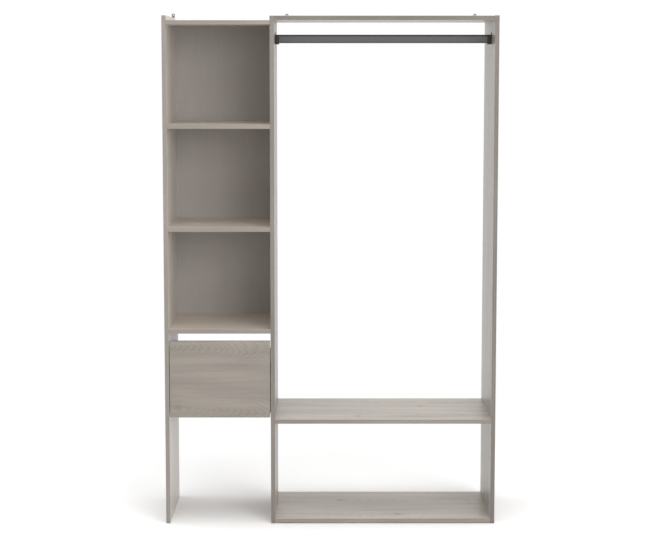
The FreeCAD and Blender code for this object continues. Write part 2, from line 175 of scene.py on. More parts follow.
# %% [markdown]
# ## Where a point lies on a piece
# Every finish here is a solid pattern on Object coordinates, as if the piece were cut from a block, so no
# unwrapping is needed and neighbouring faces agree. A Mapping node moves the middle of the piece to zero.
# The facing direction tells a banded front edge from a raw rear edge.


# %% Places, directions and new materials
def new_finish(name):
    """A material and the value from which its expressions start."""
    material = bpy.data.materials.new(name)
    material.use_nodes = True
    return material, Value(material.node_tree)


def close_finish(material, sockets):
    """Put what the expressions gave on the material's main shader."""
    Value(material.node_tree).fill(material.node_tree.nodes["Principled BSDF"], sockets)
    return material


def place_on(start, centre):
    """The way from the piece's middle to a point of its surface, as a vector."""
    place = start.node("TexCoord", {}, {}, "Object")
    return start.node("Mapping", {}, {"Vector": place, "Location": -centre})


def facing(start):
    """The direction that the surface faces, as a vector."""
    return start.node("TexCoord", {}, {}, "Normal")


def parts_of(vector):
    """A vector's parts along X, Y and Z."""
    x = vector.node("SeparateXYZ", {}, {"Vector": vector}, "X")
    return {"X": x, "Y": x.other("Y"), "Z": x.other("Z")}


def middle_of(node):
    low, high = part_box(node)
    return (low + high) / 2


print("middle of the drawer front:", [round(v, 4) for v in middle_of("drawer_front")])

# %% [markdown]
# ## Noise, streaks and relief
# Three helpers serve almost every finish: plain noise for specks and flakes, noise that is drawn out
# along one axis for grain, and a bump that turns either into a slight relief. Wave textures could draw
# grain as well, but they are too regular for wood.


# %% Patterns
def noise(vector, scale, detail=2.0, roughness=0.55):
    sockets = {"Vector": vector, "Scale": scale, "Detail": detail, "Roughness": roughness}
    return vector.node("TexNoise", {}, sockets)


def streaks(along, across, through, length, width, detail=2.0):
    """Noise that is drawn out along the grain, in patches of about length by width metres."""
    drawn = along.node("CombineXYZ", {}, {0: along / length, 1: across / width, 2: through / width})
    return noise(drawn, 1.0, detail)


def bumped(height, strength, deep):
    return height.node("Bump", {}, {"Height": height, "Strength": strength, "Distance": deep})


bench_low, bench_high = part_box("bench_shelf")
print("board thickness measured on the bench shelf:", round((bench_high - bench_low).z, 4), "m")

# %% [markdown]
# ## Growth rings and knots
# The boards carry a paper print of greyed oak under matt melamine. A scan of a board would repeat and
# could not turn a corner, so the tree itself is modelled: growth rings are tubes around a slightly tilted
# heart line, and a flat cut through them gives the arched figure in the middle of a plank and straight
# grain beside it. All of it is faint, because the real print is.

# %% Oak figure
plank_half = 0.115
ring_gap = 0.005
ring_sharp = 2.0
heart_swing = 0.035
heart_depth = 0.045
drift_size = {"length": 0.4, "width": 0.08}
drift_across = 0.05
drift_deep = 0.04
plain_from_share = 0.2
plain_full_share = 0.9
plain_calm = 0.6
knot_long = 0.012
knot_wide = 0.009


def growth_rings(along, across, through, half_length, heart):
    """Dark late wood from 0 to 1, in rings round heart lines that lie one plank apart."""
    drift = streaks(along, across, through, **drift_size)
    side = along.math("PINGPONG", across - heart + drift * drift_across, plank_half)
    depth = along * (heart_swing / half_length) + heart_depth + through + drift * drift_deep
    radius = (side * side + depth * depth) ** 0.5
    late_wood = along.math("FRACT", radius / ring_gap) ** ring_sharp
    plain = side.fade(plank_half * plain_from_share, plank_half * plain_full_share)
    return late_wood * (1 - plain * plain_calm)


def knots_at(along, across, places):
    """A dark spot at each place, from 0 to 1."""
    spots = []
    for knot_along, knot_across, strength in places:
        u = (along - knot_along) / knot_long
        v = (across - knot_across) / knot_wide
        spots.append(along.math("EXPONENT", (u * u + v * v) * -1.0) * strength)
    return sum(spots)


print("planks", plank_half * 2, "m wide, rings", ring_gap, "m apart")

# %% [markdown]
# ## Layers of the print
# On top of the rings lie streaks of three widths and short dark pores. One noise with many octaves would
# be quicker to write, but real grain has its own length and width at each scale, so each layer is made by
# itself.

# %% Print layers
print_layers = {
    "broad": {"length": 0.45, "width": 0.055},
    "middle": {"length": 0.3, "width": 0.014},
    "fine": {"length": 0.16, "width": 0.0035, "detail": 3.0},
    "pores": {"length": 0.03, "width": 0.0007, "detail": 1.0},
}
layer_shares = {"broad": 0.45, "middle": 0.25, "fine": 0.25}
pore_from = 0.6
pore_full = 0.72
pore_share = 0.08
ring_share = 0.12


def oak_print(along, across, through, rings):
    """The layers by name, and the tone that they add to a face: pale above 0, dark below."""
    layer = {name: streaks(along, across, through, **size) for name, size in print_layers.items()}
    layer["pores"] = layer["pores"].fade(pore_from, pore_full)
    tone = sum((layer[name] - 0.5) * share for name, share in layer_shares.items())
    return layer, tone - rings * ring_share - layer["pores"] * pore_share


print("print layers:", ", ".join(print_layers))

# %% [markdown]
# ## Chipboard core
# Behind and below, where nobody looks, such boards are left unbanded, so the chipboard shows: coarse
# flakes in the core and fine dust near both faces. The distance from the board's middle layer blends the
# one into the other. Modelled flakes would cost thousands of faces for something that is 15 mm thin.

# %% Raw edges
chip_pale = screen_colour(196, 166, 128)
chip_dark = screen_colour(118, 86, 56)
flake_scale = 330.0
dust_scale = 1100.0
dust_from_share = 0.45
dust_full_share = 0.75
chip_low = 0.3
chip_high = 0.7
square_on = 0.8
rear = ("Y", 1.0)
under = ("Z", -1.0)
raw_sides = {"X": (rear, under), "Y": (under,), "Z": (rear,)}


def chipboard(local, through, half_thick):
    """Colour and height of a raw sawn edge."""
    off_middle = through.math("ABSOLUTE", through)
    near_face = off_middle.fade(half_thick * dust_from_share, half_thick * dust_full_share)
    flakes = noise(local, flake_scale, detail=3.0)
    dust = noise(local, dust_scale)
    height = flakes + (dust - flakes) * near_face
    return height.fade(chip_low, chip_high).mix(chip_dark, chip_pale), height


def raw_edge(face, thin):
    """1 on the unbanded edges of a board that is thin along the given axis."""
    return sum(face[axis] * sign > square_on for axis, sign in raw_sides[thin])


print("flakes of about", round(1 / flake_scale, 4), "m")

# %% [markdown]
# ## The finished board
# One function makes a board's whole finish. It takes the grain direction, because a print that runs along
# every board's length is what makes it look like furniture. Each face has a tone of its own, and the band
# on the front edge a third. These tones are painted light and shade, set to how brightly each face is lit.
# Upright boards get a cooler pale colour, which is a painted sheen for the pale reflection on their faces.

# %% Board finish
dark_oak = screen_colour(120, 113, 106)
# The pale colour of upright boards is cooler: a painted sheen that stands in for the pale reflection on
# their faces.
pale_of = {"X": screen_colour(224, 214, 202), "Z": screen_colour(226, 220, 212)}
knot_brown = screen_colour(112, 101, 92)
front_on = 0.5
band_calm = 0.55
end_calm = 0.75
board_matt = 0.265
fine_matt = 0.12
pore_matt = 0.1
raw_matt = 0.4
board_shine = 0.31
grain_relief = 0.4
chip_relief = 3.0


def oak_board(name, grain, wide, low, high, band, heart, shift, figure, knots=()):
    """The finish of one board. Grain and wide are the axes along and across its print. Low, high and band
    are painted light and shade, as tones from dark 0 to pale 1, of the two faces along the thin axis and of
    the front edge."""
    material, start = new_finish("grey_oak_" + name)
    low_corner, high_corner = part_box(name)
    half = dict(zip("XYZ", (high_corner - low_corner) / 2))
    thin = (set("XYZ") - {grain, wide}).pop()
    local = place_on(start, middle_of(name))
    axis = parts_of(local)
    face = parts_of(facing(start))
    along, across, through = axis[grain], axis[wide], axis[thin]

    rings = growth_rings(along, across, through, half[grain], heart)
    layer, print_tone = oak_print(along + shift, across, through, rings)
    on_band = face["Y"] < -front_on
    on_end = start.math("ABSOLUTE", face[grain]) > square_on
    # Painted light and shade: the two faces and the front band each take a tone set to how brightly they
    # are lit.
    painted_face_light = (face[thin] > 0.0).between(low, high)
    print_share = (1 - on_band * band_calm - on_end * end_calm) * figure
    tone = print_tone * print_share + painted_face_light + on_band * (band - painted_face_light)
    oak = tone.mix(dark_oak, pale_of[grain])
    if knots:
        oak = knots_at(along, across, knots).mix(oak, knot_brown)

    raw = raw_edge(face, thin)
    chips, chip_height = chipboard(local, through, half[thin])
    printed_height = layer["fine"] * grain_relief - layer["pores"]
    height = printed_height * (1 - raw) + chip_height * raw * chip_relief
    return close_finish(material, {
        "Base Color": raw.mix(oak, chips),
        "Roughness": board_matt + layer["fine"] * fine_matt + layer["pores"] * pore_matt + raw * raw_matt,
        "Specular IOR Level": board_shine,
        "Normal": bumped(height, strength=0.35, deep=0.00025),
    })


print("raw sides of an upright:", len(raw_sides["X"]), "of a shelf:", len(raw_sides["Z"]))

# %% [markdown]
# ## Eleven boards
# Every board gets its own cut of the tree: where the heart line lies, how far the streaks are shifted
# along it, and how strong the figure is. A knot is given by its place along and across the board and its
# strength. The tones follow the photograph, board by board.

# %% The boards of this wardrobe
bench_knots = ((0.144, 0.053, 0.6), (-0.088, -0.142, 0.8))
base_knots = ((-0.150, 0.073, 0.6), (0.054, -0.142, 0.8))
drawer_knots = ((-0.15, -0.1, 0.25),)
# Painted light and shade per face: each tone is set to how brightly that face is lit, and the fronts are
# darker.
outer_painted_light = 0.66
niche_painted_light = 0.97
bay_painted_light = 0.54
middle_bay_painted_light = 0.42
board_painted_light = 0.68
front_painted_shade = 0.33

oak_finishes = [
    oak_board("left_side_panel", "Z", "Y", low=outer_painted_light, high=niche_painted_light, band=0.31,
              heart=0.02, shift=0.0, figure=0.8),
    oak_board("middle_panel", "Z", "Y", low=niche_painted_light, high=middle_bay_painted_light, band=0.16,
              heart=-0.06, shift=2.31, figure=0.8),
    oak_board("right_side_panel", "Z", "Y", low=bay_painted_light, high=outer_painted_light, band=0.11,
              heart=0.07, shift=4.17, figure=0.8),
    oak_board("hanging_top_board", "X", "Y", low=0.72, high=board_painted_light, band=0.09,
              heart=0.05, shift=1.37, figure=1.2),
    oak_board("bench_shelf", "X", "Y", low=board_painted_light, high=0.7, band=0.26,
              heart=-0.08, shift=3.71, figure=1.5, knots=bench_knots),
    oak_board("base_board", "X", "Y", low=board_painted_light, high=0.79, band=0.34,
              heart=0.09, shift=6.43, figure=1.5, knots=base_knots),
    oak_board("tower_top_board", "X", "Y", low=0.79, high=board_painted_light, band=front_painted_shade,
              heart=-0.03, shift=7.19, figure=1.0),
    oak_board("tower_shelf_upper", "X", "Y", low=niche_painted_light, high=niche_painted_light, band=front_painted_shade,
              heart=0.06, shift=8.57, figure=1.0),
    oak_board("tower_shelf_lower", "X", "Y", low=niche_painted_light, high=niche_painted_light, band=front_painted_shade,
              heart=-0.09, shift=9.83, figure=1.0),
    oak_board("tower_floor_shelf", "X", "Y", low=niche_painted_light, high=niche_painted_light, band=front_painted_shade,
              heart=0.01, shift=11.3, figure=1.0),
    oak_board("drawer_front", "X", "Z", low=front_painted_shade, high=board_painted_light, band=front_painted_shade,
              heart=0.138, shift=12.9, figure=1.6, knots=drawer_knots),
]
print("oak boards:", len(oak_finishes), "with", len(oak_finishes[0].node_tree.nodes), "nodes in the first")

# %% [markdown]
# ## Hardboard sheets
# The back is hardboard of 3 mm: a grey print in front and brown pressed fibre behind. The drawer's bottom
# is the same sheet lying flat. Two materials on the two sides would mean changing the node's mesh, so one
# material tells the printed side by its facing direction.

# %% Sheet finish
fibre_pale = screen_colour(150, 112, 76)
fibre_dark = screen_colour(104, 72, 46)
print_pale = screen_colour(188, 183, 180)
print_dark = screen_colour(172, 167, 165)
sheet_fine_share = 0.6
sheet_broad_share = 0.5
sheet_level = -0.05
fibre_share = 0.8
cloud_share = 0.3
fibre_matt = 0.78
sheet_matt = 0.52
sheet_fine_matt = 0.06
sheet_relief = 0.2


def hardboard(node, grain, wide, thin, printed_sign):
    """Thin sheet whose printed side faces along the thin axis in the given sense."""
    material, start = new_finish("hardboard_" + node)
    local = place_on(start, middle_of(node))
    axis = parts_of(local)
    fine = streaks(axis[grain], axis[wide], axis[thin], length=0.2, width=0.004, detail=3.0)
    broad = streaks(axis[grain], axis[wide], axis[thin], length=0.6, width=0.06)
    fibre = noise(local, scale=700.0, detail=4.0, roughness=0.7)
    cloud = noise(local, scale=60.0)
    printed = parts_of(facing(start))[thin] * printed_sign > square_on
    sheet_tone = fine * sheet_fine_share + broad * sheet_broad_share + sheet_level
    fibre_tone = fibre * fibre_share + cloud * cloud_share
    brown = fibre_tone.mix(fibre_dark, fibre_pale)
    height = fine * sheet_relief * printed + fibre * (1 - printed)
    return close_finish(material, {
        "Base Color": printed.mix(brown, sheet_tone.mix(print_dark, print_pale)),
        "Roughness": printed.between(fibre_matt, sheet_matt) + fine * sheet_fine_matt,
        "Normal": bumped(height, strength=0.3, deep=0.0003),
    })


sheet_finishes = {
    "tower_back_panel": hardboard("tower_back_panel", "Z", "X", "Y", printed_sign=-1.0),
    "drawer_bottom": hardboard("drawer_bottom", "Y", "X", "Z", printed_sign=1.0),
}
print("sheets:", sorted(sheet_finishes))

# %% [markdown]
# ## Drawer foil
# The drawer's sides and back are wrapped in a plain grey paper foil. One flat colour would do from afar,
# but up close such foil has a faint straight grain and a slight tooth, so both are there.

# %% Foil finish
foil_pale = screen_colour(196, 192, 186)
foil_dark = screen_colour(178, 173, 167)
foil_fine_share = 0.7
foil_broad_share = 0.5
foil_level = -0.1
foil_tooth = 0.3


def drawer_foil(node, grain, wide, thin):
    """Smooth grey paper foil with a faint straight grain."""
    material, start = new_finish("foil_" + node)
    local = place_on(start, middle_of(node))
    axis = parts_of(local)
    fine = streaks(axis[grain], axis[wide], axis[thin], length=0.12, width=0.002, detail=3.0)
    broad = streaks(axis[grain], axis[wide], axis[thin], length=0.4, width=0.05)
    tone = fine * foil_fine_share + broad * foil_broad_share + foil_level
    height = fine + noise(local, scale=900.0) * foil_tooth
    return close_finish(material, {
        "Base Color": tone.mix(foil_dark, foil_pale),
        "Roughness": fine.between(0.4, 0.55),
        "Normal": bumped(height, strength=0.15, deep=0.0002),
    })


foil_finishes = {
    "drawer_side_left": drawer_foil("drawer_side_left", "Y", "Z", "X"),
    "drawer_side_right": drawer_foil("drawer_side_right", "Y", "Z", "X"),
    "drawer_back": drawer_foil("drawer_back", "X", "Z", "Y"),
}
print("foils:", sorted(foil_finishes))

# %% [markdown]
# ## Coat of the rail
# The rail is steel tube with a dark satin coat, through which the draw lines of the tube still show a
# little. A plain dark metal would look like plastic at this size, so fine lines run along it and specks
# break the gloss.

# %% Rail finish
rail_dark = screen_colour(94, 96, 95)
rail_pale = screen_colour(110, 112, 110)
rail_metal = 0.7
line_share = 0.6
speck_share = 0.4
line_relief = 0.5


def rail_coat():
    material, start = new_finish("rail_satin_coat")
    local = place_on(start, middle_of("hanging_rail"))
    axis = parts_of(local)
    lines = streaks(axis["X"], axis["Y"], axis["Z"], length=0.4, width=0.0012)
    speck = noise(local, scale=2200.0)
    tone = lines * line_share + speck * speck_share
    return close_finish(material, {
        "Base Color": tone.mix(rail_dark, rail_pale),
        "Metallic": rail_metal,
        "Roughness": speck.between(0.42, 0.54),
        "Normal": bumped(speck + lines * line_relief, strength=0.12, deep=0.0001),
    })


rail_finish = rail_coat()
print(rail_finish.name, "with", len(rail_finish.node_tree.nodes), "nodes")

# %% [markdown]
# ## Moulded plastic
# The cups are black moulded plastic and the runners white extruded plastic. Flat black and white would
# hide their shape, so both have a fine grain from the tool and a hardly visible cloudiness. One function
# serves both, and takes the two colours and the roughness.

# %% Plastic finish
cup_dark = screen_colour(39, 37, 35)
cup_pale = screen_colour(58, 55, 52)
runner_dark = screen_colour(226, 225, 221)
runner_pale = screen_colour(240, 239, 236)
mould_share = 0.5
mould_matt = 0.15


def moulded_plastic(name, node, dark, pale, rough):
    """Plastic with a fine moulded grain."""
    material, start = new_finish(name)
    local = place_on(start, middle_of(node))
    grain = noise(local, scale=1500.0, detail=3.0)
    cloud = noise(local, scale=40.0)
    tone = grain * mould_share + cloud * (1 - mould_share)
    return close_finish(material, {
        "Base Color": tone.mix(dark, pale),
        "Roughness": grain * mould_matt + rough,
        "Normal": bumped(grain, strength=0.25, deep=0.0002),
    })


cup_finish = moulded_plastic("cup_black_plastic", "rail_supports", cup_dark, cup_pale, rough=0.42)
runner_finish = moulded_plastic("runner_white_plastic", "runner_left", runner_dark, runner_pale, rough=0.3)
print("plastics:", cup_finish.name, runner_finish.name)

# %% [markdown]
# ## Zinc
# Wall plates, cams, bolts, screws and nails are plated with zinc, which sets in soft spangles. A Voronoi
# texture gives such cells, and noise gives the thin uneven film on them. The screws of the cups are
# plated black, and the pressed wall plates are duller than the turned pieces.

# %% Zinc finishes
origin = Vector((0, 0, 0))
zinc_dark = screen_colour(128, 130, 134)
zinc_pale = screen_colour(180, 181, 183)
dull_dark = screen_colour(116, 118, 122)
dull_pale = screen_colour(154, 156, 160)
black_dark = screen_colour(40, 40, 41)
black_pale = screen_colour(70, 70, 71)
spangle_scale = 420.0
spangle_share = 0.5
film_share = 0.6
zinc_level = -0.1
film_matt = 0.2
spangle_relief = 0.4


def zinc_plate(name, dark, pale, rough):
    """Plated steel with soft spangles."""
    material, start = new_finish(name)
    local = place_on(start, origin)
    spangle = local.node("TexVoronoi", {}, {"Vector": local, "Scale": spangle_scale}, "Distance")
    film = noise(local, scale=160.0, detail=3.0)
    tone = spangle * spangle_share + film * film_share + zinc_level
    return close_finish(material, {
        "Base Color": tone.mix(dark, pale),
        "Metallic": 1.0,
        "Roughness": film * film_matt + rough,
        "Normal": bumped(film + spangle * spangle_relief, strength=0.08, deep=0.0001),
    })


zinc_finish = zinc_plate("bright_zinc", zinc_dark, zinc_pale, rough=0.24)
dull_plate_finish = zinc_plate("dull_zinc", dull_dark, dull_pale, rough=0.4)
dark_screw_finish = zinc_plate("black_zinc", black_dark, black_pale, rough=0.3)
print("platings:", zinc_finish.name, dull_plate_finish.name, dark_screw_finish.name)

# %% [markdown]
# ## Beech dowels
# Dowels are turned from plain beech, which shows short flecks. They are hidden in the boards, but a piece
# that is taken out of the model alone should still look like wood. The dowels of the carcass lie along X,
# and so do the flecks.

# %% Beech finish
beech_dark = screen_colour(176, 128, 84)
beech_pale = screen_colour(222, 186, 142)


def beech_dowels():
    material, start = new_finish("turned_beech")
    axis = parts_of(place_on(start, origin))
    fleck = streaks(axis["X"], axis["Y"], axis["Z"], length=0.012, width=0.0012, detail=3.0)
    return close_finish(material, {
        "Base Color": fleck.mix(beech_dark, beech_pale),
        "Roughness": fleck.between(0.6, 0.8),
        "Normal": bumped(fleck, strength=0.3, deep=0.0002),
    })


beech_finish = beech_dowels()
print(beech_finish.name, "with", len(beech_finish.node_tree.nodes), "nodes")

# %% [markdown]
# ## Dressing the nodes
# The boards' shapes are already right, so their nodes stay and only take a finish. Assigning to the
# material slot of a node leaves its mesh alone. Fittings take the finish of the record's material slot
# that they name.

# %% Give every node its finish
slot_finishes = {
    "rail_enamel": rail_finish,
    "support_plastic": cup_finish,
    "runner_plastic": runner_finish,
    "zinc_plate": zinc_finish,
    "dark_screw": dark_screw_finish,
    "beech": beech_finish,
}
slot_of = {part["node"]: part["material_slot"] for part in frame["record"]["subparts"]}


def dress(node, material):
    nodes[node].data.materials.clear()
    nodes[node].data.materials.append(material)


for node, slot in slot_of.items():
    if slot in slot_finishes:
        dress(node, slot_finishes[slot])
for node, material in (sheet_finishes | foil_finishes).items():
    dress(node, material)
for material in oak_finishes:
    dress(material.name.removeprefix("grey_oak_"), material)
print("dressed", sum(1 for n in nodes.values() if n.data.materials), "of", len(nodes), "nodes")

# %% [markdown]
# ## From mesh to piece
# The fittings are small, and a construction model keeps them plain. Most of them are made again with
# round heads, slots and softened edges. Each new piece takes the place of one node: it moves with that
# node's body, takes the finish of its material slot unless another is given, and hides it.

# %% Keep a new piece
body_of = {node: body for body, held in frame["record"]["behaviour"]["bodies"].items() for node in held}
smooth_below = math.radians(35)


def keep_piece(name, shape, node, finish=None):
    """Turn a bmesh into the piece that stands for a node."""
    open_edges = sum(edge.is_boundary for edge in shape.edges)
    mesh = bpy.data.meshes.new(name)
    shape.to_mesh(mesh)
    shape.free()
    mesh.materials.append(finish or slot_finishes[slot_of[node]])
    mesh.shade_smooth()
    mesh.set_sharp_from_angle(angle=smooth_below)
    piece = bpy.data.objects.new(name, mesh)
    bpy.context.scene.collection.objects.link(piece)
    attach(piece, body_of[node])
    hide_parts(node)
    print(name, "for", node, "with", len(mesh.polygons), "faces and", open_edges, "open edges")


print("bodies:", sorted(set(body_of.values())))

# %% [markdown]
# ## Hanging rail
# The rail is oval steel tube, 30 mm tall and 15 mm wide. A circle is pulled apart into the oval, extruded
# along the bay and given its wall. Spinning would need two half turns and two flats, and the circle has
# both at once.

# %% Oval tube
rail_sides = 64
rail_wall = 0.0012
rail_low, rail_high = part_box("hanging_rail")
rail_size = rail_high - rail_low

tube = bmesh.new()
bmesh.ops.create_circle(tube, segments=rail_sides, radius=rail_size.y / 2)
half_step = Matrix.Rotation(math.pi / rail_sides, 3, "Z")
stand_up = Matrix.Rotation(math.pi / 2, 3, "Y")
bmesh.ops.rotate(tube, verts=tube.verts, matrix=stand_up @ half_step)
for vert in tube.verts:
    vert.co.z += math.copysign((rail_size.z - rail_size.y) / 2, vert.co.z)
drawn = bmesh.ops.extrude_edge_only(tube, edges=tube.edges)
far_end = [v for v in drawn["geom"] if isinstance(v, bmesh.types.BMVert)]
bmesh.ops.translate(tube, verts=far_end, vec=(rail_size.x, 0, 0))
start_end = middle_of("hanging_rail") - Vector((rail_size.x / 2, 0, 0))
bmesh.ops.translate(tube, verts=tube.verts, vec=start_end)
bmesh.ops.recalc_face_normals(tube, faces=tube.faces)
bmesh.ops.solidify(tube, geom=tube.faces, thickness=rail_wall)
keep_piece("rail_tube", tube, "hanging_rail")

# %% [markdown]
# ## Rail cups and wall plates
# A moulded cup has no sharp edge, and a pressed plate has a slight roll where the press cut it. Both
# shapes are already right in the construction model, so a copy is merged, its flat faces are joined up,
# and only its hard edges are bevelled. A bevel modifier could do the same, but the operator can be told
# which edges to take.

# %% Soften hard edges
weld = 1e-6
hard_edge = math.radians(30)
flat_within = math.radians(1)
round_steps = 3
cup_round = 0.0006
plate_round = 0.00035


def merged_copy(node):
    shape = bmesh.new()
    shape.from_mesh(nodes[node].data)
    bmesh.ops.remove_doubles(shape, verts=shape.verts, dist=weld)
    return shape


def softened(node, radius):
    """A copy of a node with its hard edges rounded."""
    shape = merged_copy(node)
    bmesh.ops.dissolve_limit(shape, angle_limit=flat_within, verts=shape.verts, edges=shape.edges)
    hard = [edge for edge in shape.edges if edge.calc_face_angle(0.0) > hard_edge]
    bmesh.ops.bevel(shape, geom=hard, offset=radius, affect="EDGES", segments=round_steps, profile=0.5,
                    material=-1, clamp_overlap=True)
    return shape


keep_piece("rail_cups", softened("rail_supports", cup_round), "rail_supports")
keep_piece("wall_plates", softened("wall_brackets", plate_round), "wall_brackets", dull_plate_finish)

# %% [markdown]
# ## One pattern, many seats
# Cams, screws and nails come in groups: one node holds many separate solids. The solids of a node are
# found by walking along edges from vertex to vertex, and their boxes say where each one sits and how
# large it is. Then one pattern is modelled, and a copy goes to each seat. Linked objects could repeat it
# too, but a node is replaced by one piece with its place in its mesh.


# %% Find solids and set copies
def solids_of(node):
    """Lowest and highest corner of each separate solid in a node."""
    shape = merged_copy(node)
    boxes = []
    for seed in shape.verts:
        if seed.tag:
            continue
        seed.tag = True
        solid = [seed]
        for vert in solid:
            fresh = [edge.other_vert(vert) for edge in vert.link_edges if not edge.other_vert(vert).tag]
            for found in dict.fromkeys(fresh):
                found.tag = True
                solid.append(found)
        corners = list(zip(*(vert.co for vert in solid)))
        boxes.append((Vector(map(min, corners)), Vector(map(max, corners))))
    shape.free()
    return boxes


def set_copies(pattern, seats):
    """One bmesh with a copy of the pattern at each seat: the middle of its face and the way it faces."""
    gathered = bmesh.new()
    source = bpy.data.meshes.new("pattern")
    pattern.to_mesh(source)
    pattern.free()
    for middle, way in seats:
        before = len(gathered.verts)
        gathered.from_mesh(source)
        gathered.verts.ensure_lookup_table()
        turn = Matrix.Translation(middle) @ way.to_track_quat("Z", "Y").to_matrix().to_4x4()
        bmesh.ops.transform(gathered, verts=gathered.verts[before:], matrix=turn)
    bpy.data.meshes.remove(source)
    return gathered


print("cams found:", len(solids_of("cam_locks")), "nails found:", len(solids_of("back_panel_nails")))

# %% [markdown]
# ## Turned heads with a cross slot
# Screws, cams and nails are round, so a profile is spun once around its axis. The cross slot starts as a
# grid of three by three faces: its corners are dropped, the cross that is left is pushed in, and the ring
# between the cross and the rim is filled. A boolean could cut the slot too, but this keeps the mesh small
# and clean.

# %% Spin and slot
cam_sides = 40
screw_sides = 28
nail_sides = 24
spin_weld = 1e-7


def turned(profile, sides):
    """Spin (radius, height) points once around Z."""
    shape = bmesh.new()
    points = [shape.verts.new((radius, 0, height)) for radius, height in profile]
    lines = [shape.edges.new(pair) for pair in zip(points, points[1:])]
    bmesh.ops.spin(shape, geom=points + lines, cent=(0, 0, 0), axis=(0, 0, 1), angle=2 * math.pi,
                   steps=sides, use_merge=True)
    bmesh.ops.remove_doubles(shape, verts=shape.verts, dist=spin_weld)
    return shape


def cross_slot(shape, arm_long, arm_wide, sink):
    """Close an open top with a flat face that has a cross pressed into it."""
    grid = bmesh.ops.create_grid(shape, x_segments=3, y_segments=3, size=arm_long)["verts"]
    for vert in grid:
        for side in (0, 1):
            if abs(vert.co[side]) < arm_long / 2:
                vert.co[side] = math.copysign(arm_wide / 2, vert.co[side])
    cells = list(dict.fromkeys(face for vert in grid for face in vert.link_faces))
    corners = [cell for cell in cells if min(map(abs, cell.calc_center_median().xy)) > arm_wide / 2]
    bmesh.ops.delete(shape, geom=corners, context="FACES")
    cross = [cell for cell in cells if cell.is_valid]
    pushed = bmesh.ops.extrude_face_region(shape, geom=cross)
    bottom = [v for v in pushed["geom"] if isinstance(v, bmesh.types.BMVert)]
    bmesh.ops.translate(shape, verts=bottom, vec=(0, 0, -sink))
    bmesh.ops.delete(shape, geom=[cell for cell in cross if cell.is_valid], context="FACES")
    rims = [edge for edge in shape.edges if edge.is_boundary]
    bmesh.ops.triangle_fill(shape, edges=rims, use_beauty=True, normal=(0, 0, 1))
    bmesh.ops.recalc_face_normals(shape, faces=shape.faces)
    return shape


print("sides of a cam", cam_sides, "of a screw", screw_sides, "of a nail", nail_sides)

# %% [markdown]
# ## Cams
# A cam is a zinc disc of 15 mm that turns behind the head of a bolt and pulls two boards together. Its
# face has a cross slot and a thin rim that covers the edge of its bore. Cams of the two top boards face
# up, those of the lower boards face down, and those of the drawer face outwards, so each faces the
# surface that it lies nearer to.

# %% Round cams
cam_rim = 0.0083
cam_rim_thick = 0.0004
cam_bevel = 0.00025
cam_arm_share = 0.62
cam_slot_share = 0.24
cam_sink_share = 0.22


def cam_pattern(radius, deep):
    profile = [(cam_rim - cam_bevel, cam_rim_thick), (cam_rim, cam_rim_thick - cam_bevel), (cam_rim, 0.0),
               (radius, 0.0), (radius, -deep), (0.0, -deep)]
    disc = turned(profile, cam_sides)
    return cross_slot(disc, radius * cam_arm_share, radius * cam_slot_share, deep * cam_sink_share)


def holds(node, place):
    """Whether a place lies in a node's box."""
    low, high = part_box(node)
    return all(low[i] <= place[i] <= high[i] for i in range(3))


def outward_seats(node, boards, thin):
    """Each solid's outer face, on the side of its board on which it lies nearer to the surface."""
    way = Vector([1.0 if axis == thin else 0.0 for axis in "XYZ"])
    seats = []
    for low, high in solids_of(node):
        middle = (low + high) / 2
        board_low, board_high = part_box(next(board for board in boards if holds(board, middle)))
        sign = 1.0 if (high - board_high).dot(way) > (board_low - low).dot(way) else -1.0
        surface = board_high if sign > 0 else board_low
        seats.append((middle + way * (surface - middle).dot(way), way * sign))
    return seats


print("cam rim", cam_rim * 2, "m across")

# %% Set the cams
cam_boards = [n for n in nodes if n.endswith(("_board", "_shelf")) or n.startswith("tower_shelf")]
cam_low, cam_high = solids_of("cam_locks")[0]
cam_radius = (cam_high - cam_low).x / 2
board_cams = cam_pattern(cam_radius, (cam_high - cam_low).z)
board_seats = outward_seats("cam_locks", cam_boards, "Z")
keep_piece("board_cams", set_copies(board_cams, board_seats), "cam_locks")

drawer_low, drawer_high = solids_of("drawer_cam_locks")[0]
drawer_cams = cam_pattern(cam_radius, (drawer_high - drawer_low).x)
drawer_seats = outward_seats("drawer_cam_locks", ["drawer_side_left", "drawer_side_right"], "X")
keep_piece("drawer_cams", set_copies(drawer_cams, drawer_seats), "drawer_cam_locks")

# %% [markdown]
# ## Screws
# Countersunk screws hold the cups, plates and runners and the back of the drawer. Their shanks are inside
# the boards, where a thread would never show, so the profile needs only a head, a plain shank and a
# point. Length and radius are measured on the solids that they stand for.

# %% Screws
screw_rim = 0.00025
shank_share = 0.5
screw_arm_share = 0.6
screw_slot_share = 0.22
screw_sink_share = 0.4
upward = Vector((0, 0, 1.0))


def screw_pattern(radius, long):
    shank = radius * shank_share
    neck = -(radius - shank) - screw_rim
    profile = [(radius, 0.0), (radius, -screw_rim), (shank, neck), (shank, -long + shank), (0.0, -long)]
    screw = turned(profile, screw_sides)
    return cross_slot(screw, radius * screw_arm_share, radius * screw_slot_share, radius * screw_sink_share)


def screw_set(name, node, way_of):
    """Replace a node of screws that are all alike; way_of gives the way that the head at a place faces."""
    boxes = solids_of(node)
    seats = []
    for low, high in boxes:
        middle, half = (low + high) / 2, (high - low) / 2
        way = way_of(middle)
        seats.append((middle + way * abs(half.dot(way)), way))
    last_low, last_high = boxes[-1]
    size = last_high - last_low
    keep_piece(name, set_copies(screw_pattern(min(size) / 2, max(size)), seats), node)


def towards_middle(left_node, right_node, sign=1.0):
    """The way to the middle of two pieces from either of them, or away from it with a negative sign."""
    middle = (middle_of(left_node).x + middle_of(right_node).x) / 2
    return lambda place: Vector((sign if place.x < middle else -sign, 0, 0))


